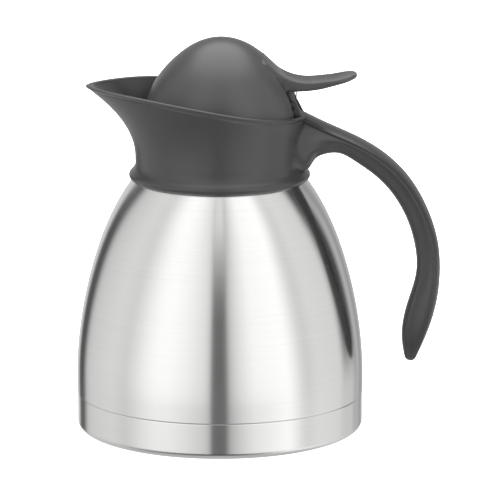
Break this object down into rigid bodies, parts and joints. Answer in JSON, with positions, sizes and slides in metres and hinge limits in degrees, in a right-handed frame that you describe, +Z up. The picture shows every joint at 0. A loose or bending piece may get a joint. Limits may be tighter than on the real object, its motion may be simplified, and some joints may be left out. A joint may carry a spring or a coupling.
{
  "type": "thermal carafe",
  "caption": "Insulated steel jug with a dark plastic spout collar, C-shaped handle and a sprung flip lid opened by a thumb lever.",
  "frame": {"origin": "centre of the foot, on the jug's axis, on the surface it stands on", "axes": "+Z up along the jug's axis, +X towards the handle, -X towards the spout, +Y away from a viewer who has the handle on the right"},
  "size_m": [0.1758, 0.1372, 0.1885],
  "materials": {
    "outer_shell": "brushed round the axis",
    "inner_flask": "spun, satin",
    "base_cup": "brushed round the axis",
    "getter_capsule": "dull",
    "tip_off_seal": "dull",
    "base_cover": "fine texture",
    "mouth_gasket": "matte",
    "collar_lock_ring": "matte",
    "spout_collar": "satin",
    "handle_cover": "satin",
    "hinge_pin": "drawn",
    "return_spring": "drawn wire",
    "lid_dome": "satin",
    "thumb_lever": "satin",
    "lever_screws": "zinc plated",
    "lid_base": "matte",
    "plug_cup": "matte",
    "lid_insulation": "foam",
    "lid_seal": "matte"
  },
  "bodies": {
    "vessel": {"outer_shell": "outer_shell", "inner_flask": "inner_flask", "base_cup": "base_cup", "getter_capsule": "getter_capsule", "tip_off_seal": "tip_off_seal", "base_cover": "base_cover", "mouth_gasket": "mouth_gasket", "collar_lock_ring": "collar_lock_ring", "spout_collar": "spout_collar", "handle_cover": "handle_cover", "hinge_pin": "hinge_pin", "return_spring": "return_spring"},
    "lid": {"lid_dome": "lid_dome", "thumb_lever": "thumb_lever", "lever_screws": "lever_screws", "lid_base": "lid_base", "plug_cup": "plug_cup", "lid_insulation": "lid_insulation", "lid_seal": "lid_seal"}
  },
  "joints": [
    {"name": "lid_hinge", "type": "hinge", "parent": "vessel", "child": "lid", "pos_m": [0.0343, 0, 0.1562], "axis": [0, 1, 0], "range_deg": [0, 45], "stiffness_Nm_per_rad": 0.05, "springref_deg": -17.19, "deforming": ["return_spring"]}
  ]
}
